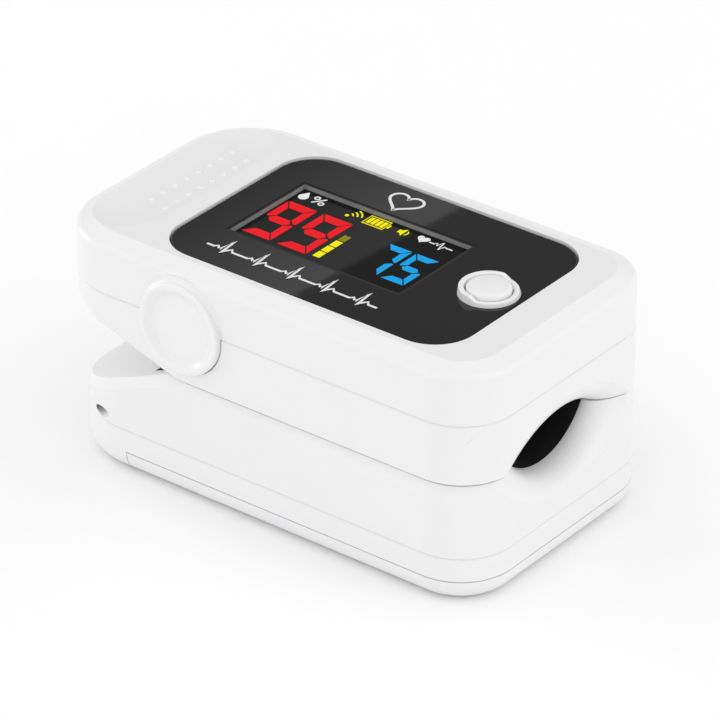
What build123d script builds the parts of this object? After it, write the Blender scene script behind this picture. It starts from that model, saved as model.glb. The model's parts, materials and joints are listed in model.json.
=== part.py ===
"""Fingertip pulse oximeter: two hinged clips with a finger channel between them.

Millimetres. X runs along the finger with the finger opening at +X, Y runs across, Z is up.
The origin is on the table, under the middle of the closed clips.
"""
from build123d import *
from math import acos, copysign, cos, radians, sin, sqrt, tan
import os

# ---- Outer shells ----
body_length = 64.2          # finger opening to thumb end
body_width = 36.5
front_corner = 7.25         # corner radii seen from above
back_corner = 9.5
lower_back_inset = 1.3      # the lower clip stops short of the upper one at the thumb end
parting_z = 16.0            # where the closed clips meet, and the height of the hinge pin
parting_gap = 0.4
wall = 1.6
deck = 1.4                  # plate of each clip that faces the other clip
top_z = 31.25
cover_seam_z = 23.9         # top cover above, upper housing below
base_seam_z = 6.1           # lower housing above, lower base below
battery_seam_z = 3.1        # lower base above, battery cover below
seam_edge = 0.15            # small chamfer that draws each seam
rim_drop = 0.95             # bevel round the top
rim_width = 2.4
rim_round = 0.8
bottom_round = 2.8
lower_lip_inset = 0.45      # bevel round the top of the lower clip
lower_lip_drop = 1.4
front_x = body_length / 2
upper_back_x = -body_length / 2
lower_back_x = upper_back_x + lower_back_inset
half_width = body_width / 2
upper_z = parting_z + parting_gap / 2
lower_z = parting_z - parting_gap / 2

# ---- Hinge and thumb notch ----
hinge_x = upper_back_x + 18.1
upper_notch_angle = 17.5    # slopes of the two clips behind the hinge
lower_notch_angle = 22.0
notch_round = 1.1
pin_radius = 1.0
pin_clearance = 0.05
ear_radius = 2.4
ear_thickness = 2.0
ear_gap = 0.3
lower_ear_y = 7.0           # middle of the ears of the lower clip
slot_half_length = 2.8      # room round the pin in both decks
ear_foot_top = 3.3          # from the parting plane
ear_foot_gap = 0.3          # from the clip's own outer face
spring_wire_radius = 0.35
spring_turns = 5
spring_turn_pitch = 0.63
spring_mean_radius = 1.6
spring_y = 13.8             # middle of each coil
spring_leg_length = 6.0
spring_leg_angle = 9.5
pin_half_length = 15.9
slot_half_width = pin_half_length + 0.35
upper_ear_y = lower_ear_y + ear_thickness + ear_gap

# ---- Finger channel ----
finger_half_width = 8.1     # at the parting plane
finger_roof = 2.3           # from the parting plane up to the upper pad
finger_floor = 4.9          # from the parting plane down to the lower pad
finger_depth = 40.0         # front face to the finger stop
pad_thickness = 0.9
pad_clearance = 0.05
trough_wall = 0.65
mouth_depth = 3.9           # the channel opens like a trumpet over this length
mouth_sweep = 75.0          # how far the trumpet turns towards the front face
mouth_steps = 5
roof_mouth_half_width = 12.9
roof_mouth_rise = 5.4
floor_mouth_half_width = 14.8
floor_mouth_rise = 6.95
stop_x = front_x - finger_depth
pad_front_x = front_x - mouth_depth
pad_seat = pad_thickness + pad_clearance
trough_grow = pad_seat + trough_wall

# ---- Window, display and button ----
lens_center_x = front_x - 28.65
lens_length = 43.1
lens_width = 29.6
lens_corner = 5.3
lens_thickness = 1.2
lens_sink = 0.25            # below the white top
lens_clearance = 0.15
lens_ledge = 1.6
roof = 2.45
display_length = 25.2
display_width = 14.2
display_x = lens_center_x - 3.85
display_y = 0.6
display_sink = 0.65         # below the top of the lens
display_thickness = 1.5
bezel_wall = 0.35
bezel_foot = 1.4
button_x = front_x - 11.7
button_radius = 2.65
button_proud = 1.2
button_travel = 0.6
button_flange = 0.6
button_clearance = 0.2
ring_radius = 3.7
ring_proud = 1.0
ring_flange = 0.7
ring_flange_thickness = 0.55
ring_clearance = 0.05
lens_z = top_z - lens_sink
lens_bottom_z = lens_z - lens_thickness
roof_z = top_z - roof

# ---- Thumb rest ----
rest_center_x = upper_back_x + 5.9
rest_half_length = 5.4
rest_depth = 0.5
rest_level_half_width = 9.0
rest_end_radius = 40.0         # the dish runs out softly towards both sides
grip_columns = 8
grip_pitch = 2.19
grip_radius = 0.55
grip_proud = 0.2
grip_rows = ((upper_back_x + 9.8, 0.4), (upper_back_x + 6.7, 1.5))

# ---- Side caps ----
cap_x = hinge_x + 3.05
cap_z = 23.45
cap_radius = 5.95
cap_proud = 0.8
cap_pocket = 0.5
cap_rim = 1.2
cap_dish = 0.45
cap_round = 0.35

# ---- Electronics in the upper clip ----
board_thickness = 1.0
board_z = 26.2
board_front_x = front_x - 4.6
board_back_x = upper_back_x + 13.1
board_half_width = 12.1
chip_sizes = ((7.0, 7.0, 1.0, -3.0, 4.5), (5.0, 4.0, 1.0, 6.5, -5.0), (3.2, 1.6, 0.8, 13.0, 6.0))
buzzer_radius = 4.0
buzzer_height = 1.9
buzzer_x = front_x - 15.1
buzzer_y = -6.5
switch_side = 4.5
switch_height = 0.7
plunger_radius = 1.0
plunger_height = 0.4
optics_x = front_x - 25.1   # light path across the finger
optics_radius = 1.8
window_radius = 2.1
window_thickness = 0.6
optics_board_length = 9.0
optics_board_width = 6.0
optics_board_thickness = 0.8
optics_gap = 0.1

# ---- Ribbon leads ----
ribbon_width = 2.0
ribbon_thickness = 0.2
ribbon_y = 3.0
ribbon_gap = 0.8

# ---- Screws ----
screw_radius = 0.8
screw_head_radius = 1.4
screw_head = 0.6
upper_screw_length = 10.5
lower_screw_length = 5.8
screw_clearance = 0.1
boss_radius = 1.9
upper_screw_y = 14.3
upper_screw_x = (hinge_x + 9.0, front_x - 9.0)
back_screw_x = lower_back_x + 5.6
back_screw_y = 8.0
spine_screw_x = (stop_x + 3.9, front_x - 12.0)

# ---- Battery bay ----
cell_radius = 5.25          # AAA cell
cell_length = 44.5
cell_clearance = 0.15
cell_z = 6.6
cell_tip_radius = 1.9
cell_tip_length = 0.8
contact_thickness = 0.4
contact_width = 8.0
contact_height = 6.2
contact_spring_length = 2.3
contact_spring_turns = 3
contact_spring_radius = 3.65
contact_spring_taper = 0.7
contact_spring_wire = 0.9
bay_back_x = lower_back_x + 10.8
bulkhead = 1.2
bulkhead_top = 8.0
spine_half_width = 3.0
rail_width = 1.35
rail_bottom_z = 1.5
groove_z = 2.3
groove_height = 0.8
groove_depth = 0.5
tongue_height = 0.4
tongue_clearance = 0.1
cover_floor = 1.1
cover_wall = 1.35
cover_gap = 0.1
grip_slot_count = 5
grip_slot_pitch = 2.4
grip_slot_length = 14.0
grip_slot_width = 1.1
grip_slot_depth = 0.35
grip_slot_x = front_x - 16.1
cell_y = half_width - wall - rail_width - cell_clearance - cell_radius
cell_front_x = bay_back_x + contact_thickness + contact_spring_length + cell_length
bulkhead_x = cell_front_x + contact_thickness

# ---- Lanyard eye, in a post at one thumb-end corner ----
lanyard_radius = 0.65
lanyard_wall = 0.55
lanyard_z = base_seam_z + 1.1
lanyard_post = 10.5
lanyard_post_height = 3.0


def plan(height, back_x, inset=0.0):
    """Sketch of a clip seen from above, at a height, drawn in by the inset."""
    with BuildSketch(Plane.XY.offset(height)) as outline:
        with Locations(((front_x + back_x) / 2, 0)):
            Rectangle(front_x - back_x - 2 * inset, body_width - 2 * inset)
        fillet(outline.vertices().group_by(Axis.X)[-1], front_corner - inset)
        fillet(outline.vertices().group_by(Axis.X)[0], back_corner - inset)
    return outline.sketch


def side_block(points, reach):
    """Solid with a side-view outline, reaching equally far to both sides of the middle."""
    with BuildPart() as block:
        with BuildSketch(Plane.XZ):
            with BuildLine():
                Polyline(*points, close=True)
            make_face()
        extrude(amount=reach, both=True)
    return block.part


def finger_outline(x, half_wide, rise, grow=0.0):
    """Sketch across the finger: an arc above (rise > 0) or below the parting plane, grown outwards."""
    arc_radius = (half_wide**2 + rise**2) / (2 * abs(rise))
    past_parting = arc_radius - abs(rise)
    reach = sqrt((arc_radius + grow)**2 - past_parting**2)
    top = copysign(arc_radius + grow - past_parting, rise)
    with BuildSketch(Plane.YZ.offset(x)) as outline:
        with BuildLine():
            ThreePointArc((-reach, parting_z), (0, parting_z + top), (reach, parting_z))
            Line((reach, parting_z), (-reach, parting_z))
        make_face()
    return outline.sketch


def channel(start_x, end_x, rise, grow):
    """Roof or floor half of the finger channel, as a solid bar grown outwards from the finger's space."""
    with BuildPart() as bar:
        extrude(finger_outline(start_x, finger_half_width, rise, grow), amount=end_x - start_x)
        if rise > 0:
            split(bisect_by=Plane.XY.offset(upper_z), keep=Keep.TOP)
        else:
            split(bisect_by=Plane.XY.offset(lower_z), keep=Keep.BOTTOM)
    return bar.part


def mouth(half_wide, rise, throat_rise):
    """Trumpet from the finger channel out to the front face, through a row of arc outlines."""
    sweep = radians(mouth_sweep)
    with BuildPart() as trumpet:
        for step in range(mouth_steps):
            turn = sweep * step / (mouth_steps - 1)
            opened = (1 - cos(turn)) / (1 - cos(sweep))
            x = pad_front_x + mouth_depth * sin(turn) / sin(sweep)
            add(finger_outline(
                x, finger_half_width + (half_wide - finger_half_width) * opened,
                throat_rise + (rise - throat_rise) * opened))
        loft()
    return trumpet.part


def hinge_ears(middle_y, outline):
    """Pair of hinge ears: a round eye on the pin and a foot that ties it to the deck."""
    with BuildPart() as ears:
        for side in (-1, 1):
            face_y = side * middle_y + ear_thickness / 2
            with BuildSketch(Plane.XZ.offset(-face_y)):
                with BuildLine():
                    Polyline(*outline, close=True)
                make_face()
                with Locations((hinge_x, parting_z)):
                    Circle(ear_radius)
                    Circle(pin_radius + pin_clearance, mode=Mode.SUBTRACT)
            extrude(amount=ear_thickness)
    return ears.part


def finish(piece, name):
    """Label a finished piece and write it."""
    piece.part.label = name
    export_step(piece.part, f"parts/{name}.step")


os.makedirs("parts", exist_ok=True)

# Side views of the two clips behind the hinge, and the space inside each of them
upper_slope = tan(radians(upper_notch_angle))
lower_slope = tan(radians(lower_notch_angle))
far_x = hinge_x - body_length
far_rise = body_length * upper_slope
far_fall = body_length * lower_slope
upper_notch = side_block(
    [(hinge_x, upper_z), (far_x, upper_z + far_rise), (far_x, 0), (hinge_x, 0)], body_width)
lower_notch = side_block(
    [(hinge_x, lower_z), (far_x, lower_z - far_fall), (far_x, top_z), (hinge_x, top_z)], body_width)
upper_room = side_block(
    [(hinge_x, upper_z + deck), (far_x, upper_z + deck + far_rise), (far_x, top_z + far_rise),
     (front_x, top_z + far_rise), (front_x, upper_z + deck)], body_width)
lower_room = side_block(
    [(hinge_x, lower_z - deck), (far_x, lower_z - deck - far_fall), (far_x, -far_fall),
     (front_x, -far_fall), (front_x, lower_z - deck)], body_width)
with BuildPart() as hinge_slot:
    with Locations((hinge_x, 0, parting_z)):
        Box(2 * slot_half_length, 2 * slot_half_width, 4 * ear_radius)

# ---- Top cover: white lid with a thumb rest behind the window ----
rest_radius = (rest_half_length ** 2 + rest_depth ** 2) / (2 * rest_depth)
rest_axis_z = top_z - rest_depth + rest_radius
rest_end_angle = acos(1 - 2 * rest_depth / rest_end_radius)
rest_end_y = rest_level_half_width + rest_end_radius * sin(rest_end_angle)
rest_half_end_y = rest_level_half_width + rest_end_radius * sin(rest_end_angle / 2)
rest_half_end_z = top_z - rest_depth + rest_end_radius * (1 - cos(rest_end_angle / 2))

with BuildPart() as thumb_rest:
    with BuildSketch(Plane.YZ.offset(rest_center_x)):
        with BuildLine():
            Line((-rest_level_half_width, top_z - rest_depth), (rest_level_half_width, top_z - rest_depth))
            for side in (-1, 1):
                ThreePointArc(
                    (side * rest_level_half_width, top_z - rest_depth),
                    (side * rest_half_end_y, rest_half_end_z),
                    (side * rest_end_y, top_z + rest_depth))
            Polyline(
                (-rest_end_y, top_z + rest_depth), (-rest_end_y, rest_axis_z),
                (rest_end_y, rest_axis_z), (rest_end_y, top_z + rest_depth))
        make_face()
    revolve(axis=Axis((rest_center_x, 0, rest_axis_z), (0, 1, 0)))


def rest_height(x):
    """Height of the thumb rest on its level middle, where the grip dots stand."""
    return rest_axis_z - sqrt(rest_radius ** 2 - (x - rest_center_x) ** 2)


def lens_outline(height, grow=0.0):
    """Sketch of the window seen from above."""
    with BuildSketch(Plane.XY.offset(height)) as outline:
        with Locations((lens_center_x, 0)):
            RectangleRounded(lens_length + 2 * grow, lens_width + 2 * grow, lens_corner + grow)
    return outline.sketch


def screw_posts(places, start_z, end_z, radius):
    """Round posts or holes for screws, from one height to another."""
    with BuildPart() as posts:
        with BuildSketch(Plane.XY.offset(start_z)):
            with Locations(*places):
                Circle(radius)
        extrude(amount=end_z - start_z)
    return posts.part


upper_screws_at = [(x, side * upper_screw_y) for x in upper_screw_x for side in (-1, 1)]
upper_screw_seat = upper_z + screw_head + screw_clearance
upper_screw_tip = upper_screw_seat + upper_screw_length

with BuildPart() as cap_pockets:
    for side in (-1, 1):
        with BuildSketch(Plane.XZ.offset(side * half_width)):
            with Locations((cap_x, cap_z)):
                Circle(cap_radius + screw_clearance)
        extrude(amount=cap_pocket, both=True)

with BuildPart() as top_cover:
    extrude(plan(cover_seam_z, upper_back_x), amount=top_z - cover_seam_z)
    rim = top_cover.faces().sort_by(Axis.Z)[-1]
    chamfer(rim.edges(), length=rim_width, length2=rim_drop, reference=rim)
    bevel_edges = top_cover.edges().group_by(Axis.Z)[-3]
    fillet(bevel_edges, rim_round)
    chamfer(top_cover.faces().sort_by(Axis.Z)[0].edges(), seam_edge)
    add(thumb_rest.part, mode=Mode.SUBTRACT)
    for row_x, row_y in grip_rows:
        with Locations((row_x, row_y, rest_height(row_x) - grip_radius + grip_proud)):
            with GridLocations(grip_pitch, grip_pitch, 1, grip_columns):
                Sphere(grip_radius)
    extrude(plan(cover_seam_z, upper_back_x, wall), amount=roof_z - cover_seam_z, mode=Mode.SUBTRACT)
    extrude(lens_outline(lens_bottom_z, lens_clearance), amount=top_z, mode=Mode.SUBTRACT)
    extrude(lens_outline(cover_seam_z, -lens_ledge), amount=top_z, mode=Mode.SUBTRACT)
    add(screw_posts([(button_x, 0)], cover_seam_z, lens_bottom_z,
                    ring_radius + ring_flange + lens_clearance), mode=Mode.SUBTRACT)
    add(cap_pockets.part, mode=Mode.SUBTRACT)
    add(screw_posts(upper_screws_at, cover_seam_z, roof_z + seam_edge, boss_radius))
    add(screw_posts(upper_screws_at, cover_seam_z - seam_edge, upper_screw_tip + screw_clearance,
                    screw_radius + pin_clearance), mode=Mode.SUBTRACT)
finish(top_cover, "top_cover")

# ---- Upper housing: walls, deck, arch over the finger and hinge ears ----
foot_back = slot_half_length + deck
foot_front = slot_half_length + deck / 2


def foot_outline(direction, slope):
    """Side view of an ear's foot: parallel to the clip's outer face behind the hinge and ahead of it."""
    near = parting_gap / 2 + ear_foot_gap
    heights = ((-foot_back, near + foot_back * slope), (0, near), (foot_front, near),
               (foot_front, ear_foot_top), (-foot_back, ear_foot_top))
    return [(hinge_x + x, parting_z + direction * height) for x, height in heights]


with BuildPart() as upper_cavity:
    extrude(plan(upper_z, upper_back_x, wall), amount=cover_seam_z)
    add(upper_room, mode=Mode.INTERSECT)

with BuildPart() as upper_housing:
    extrude(plan(upper_z, upper_back_x), amount=cover_seam_z - upper_z)
    add(upper_notch, mode=Mode.SUBTRACT)
    slope = upper_housing.faces().filter_by(Axis.Z, reverse=True).sort_by(
        lambda face: face.normal_at().Z)[0]
    fillet(slope.edges().sort_by(Axis.X)[:-1], notch_round)
    chamfer(upper_housing.faces().sort_by(Axis.Z)[-1].edges(), seam_edge)
    add(upper_cavity.part, mode=Mode.SUBTRACT)
    add(channel(stop_x - trough_grow, front_x - wall / 2, finger_roof, trough_grow))
    add(screw_posts(upper_screws_at, upper_z, cover_seam_z, boss_radius))
    add(channel(stop_x - pad_seat, pad_front_x, finger_roof, pad_seat), mode=Mode.SUBTRACT)
    add(mouth(roof_mouth_half_width, roof_mouth_rise, finger_roof), mode=Mode.SUBTRACT)
    add(hinge_slot.part, mode=Mode.SUBTRACT)
    add(hinge_ears(upper_ear_y, foot_outline(1, upper_slope)))
    add(cap_pockets.part, mode=Mode.SUBTRACT)
    add(screw_posts(upper_screws_at, upper_z, upper_screw_seat, screw_head_radius + screw_clearance),
        mode=Mode.SUBTRACT)
    add(screw_posts(upper_screws_at, upper_z, cover_seam_z, screw_radius + screw_clearance),
        mode=Mode.SUBTRACT)
    add(screw_posts([(optics_x, 0)], parting_z, cover_seam_z, optics_radius + screw_clearance),
        mode=Mode.SUBTRACT)
finish(upper_housing, "upper_housing")

# ---- Pads that line the finger channel; each ends in a finger stop ----
def finger_pad(rise):
    """Roof or floor of the finger channel's lining, with a hole for the light path."""
    with BuildPart() as pad:
        add(channel(stop_x - pad_thickness, pad_front_x, rise, pad_thickness))
        add(channel(stop_x, pad_front_x, rise, 0), mode=Mode.SUBTRACT)
        with Locations((optics_x, 0, parting_z + rise)):
            Cylinder(window_radius + pad_clearance, 2 * pad_seat + optics_gap, mode=Mode.SUBTRACT)
    return pad


upper_finger_pad = finger_pad(finger_roof)
finish(upper_finger_pad, "upper_finger_pad")
lower_finger_pad = finger_pad(-finger_floor)
finish(lower_finger_pad, "lower_finger_pad")

# ---- Lower housing: walls, deck, dish under the finger, hinge ears and lanyard post ----
spine_screws_at = [(x, 0) for x in spine_screw_x]
back_screws_at = [(back_screw_x, side * back_screw_y) for side in (-1, 1)]
lower_screw_seat = battery_seam_z + screw_head + screw_clearance
trough_low_z = parting_z - finger_floor - trough_grow
back_post_top_z = lower_z - deck / 2 - (hinge_x - back_screw_x) * lower_slope
lanyard_center = Vector(lower_back_x + back_corner, back_corner - half_width)
lanyard_reach = back_corner - lanyard_wall - lanyard_radius
lanyard_point = lanyard_center + Vector(-1, -1) * (lanyard_reach / sqrt(2))
lanyard_plane = Plane(origin=(lanyard_point.X, lanyard_point.Y, lanyard_z), z_dir=(1, -1, 0))


def slope_order(face):
    """How steeply a face looks up and back, to find the slope of the thumb notch."""
    return face.normal_at().Z - face.normal_at().X


with BuildPart() as lower_cavity:
    extrude(plan(0, lower_back_x, wall), amount=lower_z)
    add(lower_room, mode=Mode.INTERSECT)
    with Locations((lower_back_x, -half_width, base_seam_z)):
        Box(lanyard_post, lanyard_post, 2 * lanyard_post_height, mode=Mode.SUBTRACT)

with BuildPart() as lower_housing:
    extrude(plan(base_seam_z, lower_back_x), amount=lower_z - base_seam_z)
    add(lower_notch, mode=Mode.SUBTRACT)
    flat = lower_housing.faces().filter_by(Axis.Z).sort_by(Axis.Z)[-1]
    chamfer(flat.edges().sort_by(Axis.X)[1:], length=lower_lip_inset, length2=lower_lip_drop,
            reference=flat)
    slope = lower_housing.faces().filter_by(Axis.Z, reverse=True).sort_by(slope_order)[-1]
    chamfer(slope.edges().sort_by(Axis.X)[:-1], length=lower_lip_inset, length2=lower_lip_drop,
            reference=slope)
    chamfer(lower_housing.faces().sort_by(Axis.Z)[0].edges(), seam_edge)
    add(lower_cavity.part, mode=Mode.SUBTRACT)
    add(channel(stop_x - trough_grow, front_x - wall / 2, -finger_floor, trough_grow))
    add(screw_posts(spine_screws_at, base_seam_z, trough_low_z + trough_wall / 2, boss_radius))
    add(screw_posts(back_screws_at, base_seam_z, back_post_top_z, boss_radius))
    add(channel(stop_x - pad_seat, pad_front_x, -finger_floor, pad_seat), mode=Mode.SUBTRACT)
    add(mouth(floor_mouth_half_width, -floor_mouth_rise, -finger_floor), mode=Mode.SUBTRACT)
    add(hinge_slot.part, mode=Mode.SUBTRACT)
    add(hinge_ears(lower_ear_y, foot_outline(-1, lower_slope)))
    add(screw_posts([(optics_x, 0)], base_seam_z, parting_z, optics_radius + screw_clearance),
        mode=Mode.SUBTRACT)
    add(screw_posts(spine_screws_at, base_seam_z, lower_screw_seat + lower_screw_length + screw_clearance,
                    screw_radius + pin_clearance), mode=Mode.SUBTRACT)
    add(screw_posts(back_screws_at, base_seam_z, battery_seam_z + lower_screw_length + screw_clearance,
                    screw_radius + pin_clearance), mode=Mode.SUBTRACT)
    with BuildSketch(lanyard_plane):
        Circle(lanyard_radius)
    extrude(amount=body_width, both=True, mode=Mode.SUBTRACT)
finish(lower_housing, "lower_housing")

# ---- Lower base: band round the battery bay, and the closed floor under the thumb end ----
rail_y = half_width - wall - rail_width / 2
rail_front_x = front_x - front_corner + seam_edge

with BuildPart() as lower_outer:
    extrude(plan(0, lower_back_x), amount=base_seam_z)
    fillet(lower_outer.faces().sort_by(Axis.Z)[0].edges(), bottom_round)

with BuildPart() as bay:
    with Locations(((bay_back_x + front_x) / 2 + wall, 0, 0)):
        Box(front_x - bay_back_x + 2 * wall, 2 * body_width, 2 * battery_seam_z)

with BuildPart() as base_inside:
    extrude(plan(0, lower_back_x, wall), amount=base_seam_z)
    with Locations((bay_back_x - wall / 2, 0, 0)):
        Box(wall, body_width, 2 * base_seam_z, mode=Mode.SUBTRACT)
    with Locations((lower_back_x, 0, 0)):
        Box(2 * (bay_back_x - lower_back_x), body_width, 2 * wall, mode=Mode.SUBTRACT)

with BuildPart() as lower_base:
    add(lower_outer.part)
    add(bay.part, mode=Mode.SUBTRACT)
    chamfer(lower_base.faces().sort_by(Axis.Z)[-1].edges(), seam_edge)
    add(base_inside.part, mode=Mode.SUBTRACT)
    for side in (-1, 1):
        rail_middle = ((bay_back_x + rail_front_x) / 2, side * rail_y, (rail_bottom_z + base_seam_z) / 2)
        with Locations(rail_middle):
            Box(rail_front_x - bay_back_x, rail_width, base_seam_z - rail_bottom_z)
        groove_y = side * (half_width - wall - groove_depth / 2)
        with Locations(((bay_back_x + front_x) / 2, groove_y, groove_z)):
            Box(front_x - bay_back_x, groove_depth, groove_height, mode=Mode.SUBTRACT)
    with Locations((bulkhead_x + bulkhead / 2, 0, (rail_bottom_z + bulkhead_top) / 2)):
        Box(bulkhead, 2 * (cell_y + contact_width / 2), bulkhead_top - rail_bottom_z)
    with Locations((bulkhead_x + bulkhead / 2, 0, (battery_seam_z + base_seam_z) / 2)):
        Box(bulkhead, 2 * (half_width - wall - seam_edge) - front_corner / 2, base_seam_z - battery_seam_z)
    with Locations(((bay_back_x + bulkhead_x) / 2, 0, (battery_seam_z + base_seam_z) / 2)):
        Box(bulkhead_x - bay_back_x, 2 * spine_half_width, base_seam_z - battery_seam_z)
    add(screw_posts(back_screws_at, wall / 2, base_seam_z, boss_radius))
    add(screw_posts(back_screws_at, 0, battery_seam_z, screw_head_radius + screw_clearance),
        mode=Mode.SUBTRACT)
    add(screw_posts(spine_screws_at, battery_seam_z, lower_screw_seat, screw_head_radius + screw_clearance),
        mode=Mode.SUBTRACT)
    add(screw_posts(back_screws_at + spine_screws_at, 0, base_seam_z, screw_radius + screw_clearance),
        mode=Mode.SUBTRACT)
finish(lower_base, "lower_base")

# ---- Battery cover: slides off towards the finger opening ----
with BuildPart() as battery_cover:
    add(lower_outer.part)
    with Locations((bay_back_x + cover_gap + body_length / 2, 0, 0)):
        Box(body_length, 2 * body_width, 2 * (battery_seam_z - cover_gap), mode=Mode.INTERSECT)
    extrude(plan(cover_floor, lower_back_x, cover_wall), amount=battery_seam_z, mode=Mode.SUBTRACT)
    for side in (-1, 1):
        tongue_reach = wall + groove_depth - cover_wall - tongue_clearance
        tongue_y = side * (half_width - cover_wall - tongue_reach / 2)
        with Locations(((bay_back_x + cover_gap + rail_front_x) / 2, tongue_y, groove_z)):
            Box(rail_front_x - bay_back_x - cover_gap, tongue_reach, tongue_height)
    with BuildSketch(Plane.XY):
        with Locations((grip_slot_x, 0)):
            with GridLocations(grip_slot_pitch, 1, grip_slot_count, 1):
                SlotOverall(grip_slot_length, grip_slot_width, rotation=90)
    extrude(amount=grip_slot_depth, mode=Mode.SUBTRACT)
finish(battery_cover, "battery_cover")

# ---- Window, display and its gasket ----
bezel_length = display_length + 2 * bezel_wall
bezel_width = display_width + 2 * bezel_wall
display_top_z = lens_z - display_sink
display_bottom_z = display_top_z - display_thickness
board_top_z = board_z + board_thickness
ring_bottom_z = lens_bottom_z - ring_flange_thickness

with BuildPart() as display_window:
    extrude(lens_outline(lens_bottom_z), amount=lens_thickness)
    chamfer(display_window.faces().sort_by(Axis.Z)[-1].edges(), seam_edge)
    with BuildSketch(Plane.XY.offset(lens_bottom_z)):
        with Locations((display_x, display_y)):
            Rectangle(bezel_length + 2 * ring_clearance, bezel_width + 2 * ring_clearance)
        with Locations((button_x, 0)):
            Circle(ring_radius + ring_clearance)
    extrude(amount=lens_thickness, mode=Mode.SUBTRACT)
finish(display_window, "display_window")

with BuildPart() as display_bezel:
    with BuildSketch(Plane.XY.offset(board_top_z)):
        with Locations((display_x, display_y)):
            Rectangle(bezel_length + 2 * bezel_foot, bezel_width + 2 * bezel_foot)
    extrude(amount=lens_bottom_z - board_top_z)
    with BuildSketch(Plane.XY.offset(lens_bottom_z)):
        with Locations((display_x, display_y)):
            Rectangle(bezel_length, bezel_width)
    extrude(amount=lens_thickness - ring_clearance)
    with BuildSketch(Plane.XY.offset(board_top_z)):
        with Locations((display_x, display_y)):
            Rectangle(display_length, display_width)
    extrude(amount=top_z, mode=Mode.SUBTRACT)
finish(display_bezel, "display_bezel")

with BuildPart() as display_panel:
    with BuildSketch(Plane.XY.offset(board_top_z)):
        with Locations((display_x, display_y)):
            Rectangle(display_length, display_width)
    extrude(amount=display_top_z - board_top_z)
finish(display_panel, "display_panel")

# ---- Power button in its ring, over a tact switch ----
with BuildPart() as button_ring:
    with BuildSketch(Plane.XY.offset(lens_bottom_z)):
        with Locations((button_x, 0)):
            Circle(ring_radius)
    extrude(amount=lens_thickness + ring_proud)
    fillet(button_ring.edges().group_by(Axis.Z)[-1], seam_edge)
    with BuildSketch(Plane.XY.offset(ring_bottom_z)):
        with Locations((button_x, 0)):
            Circle(ring_radius + ring_flange)
    extrude(amount=ring_flange_thickness)
    with BuildSketch(Plane.XY.offset(ring_bottom_z)):
        with Locations((button_x, 0)):
            Circle(button_radius + button_clearance)
    extrude(amount=top_z, mode=Mode.SUBTRACT)
finish(button_ring, "button_ring")

plunger_top_z = board_top_z + switch_height + plunger_height
button_bottom_z = plunger_top_z + button_travel + ring_clearance
button_flange_z = ring_bottom_z - ring_clearance

with BuildPart() as power_button:
    with BuildSketch(Plane.XY.offset(button_bottom_z)):
        with Locations((button_x, 0)):
            Circle(button_radius)
    extrude(amount=lens_z + button_proud - button_bottom_z)
    fillet(power_button.edges().group_by(Axis.Z)[-1], button_clearance)
    with BuildSketch(Plane.XY.offset(button_bottom_z)):
        with Locations((button_x, 0)):
            Circle(button_radius + button_flange)
    extrude(amount=button_flange_z - button_bottom_z)
finish(power_button, "power_button")

with BuildPart() as button_switch:
    with BuildSketch(Plane.XY.offset(board_top_z)):
        with Locations((button_x, 0)):
            Rectangle(switch_side, switch_side)
    extrude(amount=switch_height)
    with BuildSketch(Plane.XY.offset(board_top_z + switch_height)):
        with Locations((button_x, 0)):
            Circle(plunger_radius)
    extrude(amount=plunger_height)
finish(button_switch, "button_switch")

# ---- Circuit board with its chips and buzzer ----
with BuildPart() as main_board:
    with BuildSketch(Plane.XY.offset(board_z)):
        with Locations(((board_front_x + board_back_x) / 2, 0)):
            RectangleRounded(board_front_x - board_back_x, 2 * board_half_width, screw_radius)
    extrude(amount=board_thickness)
finish(main_board, "main_board")

with BuildPart() as board_chips:
    for length, width, height, x, y in chip_sizes:
        with Locations((x, y, board_z - height / 2)):
            Box(length, width, height)
finish(board_chips, "board_chips")

with BuildPart() as buzzer:
    with BuildSketch(Plane.XY.offset(board_z - buzzer_height)):
        with Locations((buzzer_x, buzzer_y)):
            Circle(buzzer_radius)
    extrude(amount=buzzer_height)
    with BuildSketch(Plane.XY.offset(board_z - buzzer_height)):
        with Locations((buzzer_x, buzzer_y)):
            Circle(screw_radius)
    extrude(amount=buzzer_height / 2, mode=Mode.SUBTRACT)
finish(buzzer, "buzzer")

# ---- Light path: emitter above the finger, sensor below it, each behind a clear window ----
for name, direction, rise in (("emitter", 1, finger_roof), ("sensor", -1, finger_floor)):
    window_near = rise + optics_gap
    diode_near = window_near + window_thickness + optics_gap
    board_near = rise + trough_grow
    with BuildPart() as optics_board:
        with Locations((optics_x, 0, parting_z + direction * (board_near + optics_board_thickness / 2))):
            Box(optics_board_length, optics_board_width, optics_board_thickness)
    finish(optics_board, f"{name}_board")
    with BuildPart() as optics:
        with Locations((optics_x, 0, parting_z + direction * (diode_near + board_near) / 2)):
            Cylinder(optics_radius, board_near - diode_near)
    finish(optics, f"{name}_diode")
    with BuildPart() as optics_window:
        with Locations((optics_x, 0, parting_z + direction * (window_near + window_thickness / 2))):
            Cylinder(window_radius, window_thickness)
    finish(optics_window, f"{name}_window")

# ---- Side caps over the ends of the seam ----
for name, side in (("side_cap_right", -1), ("side_cap_left", 1)):
    outer_plane = Plane(
        origin=(cap_x, side * (half_width - cap_pocket), cap_z), x_dir=(1, 0, 0), z_dir=(0, side, 0))
    with BuildPart() as side_cap:
        with BuildSketch(outer_plane):
            Circle(cap_radius)
        extrude(amount=cap_pocket + cap_proud)
        outer_rim = side_cap.edges().sort_by(Axis.Y)[-1 if side > 0 else 0]
        fillet(outer_rim, cap_round)
        dish_radius = ((cap_radius - cap_rim)**2 + cap_dish**2) / (2 * cap_dish)
        dish_y = side * (half_width + cap_proud - cap_dish + dish_radius)
        with Locations((cap_x, dish_y, cap_z)):
            Sphere(dish_radius, mode=Mode.SUBTRACT)
    finish(side_cap, name)

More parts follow.
